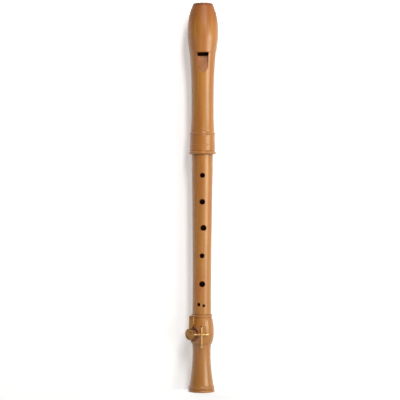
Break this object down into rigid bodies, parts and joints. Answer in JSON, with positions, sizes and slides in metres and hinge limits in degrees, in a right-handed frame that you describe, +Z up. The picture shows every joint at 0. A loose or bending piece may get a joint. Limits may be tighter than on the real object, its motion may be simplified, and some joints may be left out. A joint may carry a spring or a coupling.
{
  "type": "alto recorder",
  "caption": "Wooden alto recorder in separable head, middle and foot joints, with a brass foot key for the lowest finger hole.",
  "frame": {"origin": "centre of the foot joint's flat end, on the bore's axis", "axes": "+Z up the bore towards the mouthpiece, -Y the way the finger holes and the window face, +X to the right seen from there"},
  "size_m": [0.0391, 0.0378, 0.475],
  "materials": {
    "pearwood": "oiled, satin",
    "cedar": "bare, matt",
    "cork": "natural cork",
    "brass": "polished",
    "steel": "bright",
    "pad_leather": "matt"
  },
  "bodies": {
    "foot": {"foot_joint": "pearwood", "key_post_upper": "brass", "key_post_lower": "brass", "key_axle": "steel", "key_spring": "steel"},
    "lower_cork": {"lower_tenon_cork": "cork"},
    "middle": {"middle_joint": "pearwood"},
    "upper_cork": {"upper_tenon_cork": "cork"},
    "head": {"head_joint": "pearwood", "fipple_block": "cedar"},
    "key": {"key_hinge_tube": "brass", "key_arm": "brass", "pad_cup": "brass", "key_pad": "pad_leather", "key_touch": "brass", "key_tail": "brass", "tail_cork": "cork"}
  },
  "joints": [
    {"name": "foot_pull", "type": "slide", "parent": "foot", "child": "lower_cork", "axis": [0, 0, 1], "range_m": [0, 0.03]},
    {"name": "foot_twist", "type": "hinge", "parent": "lower_cork", "child": "middle", "pos_m": [0, 0, 0.0859], "axis": [0, 0, 1], "continuous": true},
    {"name": "head_twist", "type": "hinge", "parent": "middle", "child": "upper_cork", "pos_m": [0, 0, 0.3013], "axis": [0, 0, 1], "continuous": true},
    {"name": "head_pull", "type": "slide", "parent": "upper_cork", "child": "head", "axis": [0, 0, 1], "range_m": [0, 0.035]},
    {"name": "key_press", "type": "hinge", "parent": "foot", "child": "key", "pos_m": [0, -0.0166, 0.071], "axis": [0, 0, -1], "range_deg": [0, 14], "stiffness_Nm_per_rad": 0.012, "springref_deg": -17.19}
  ]
}
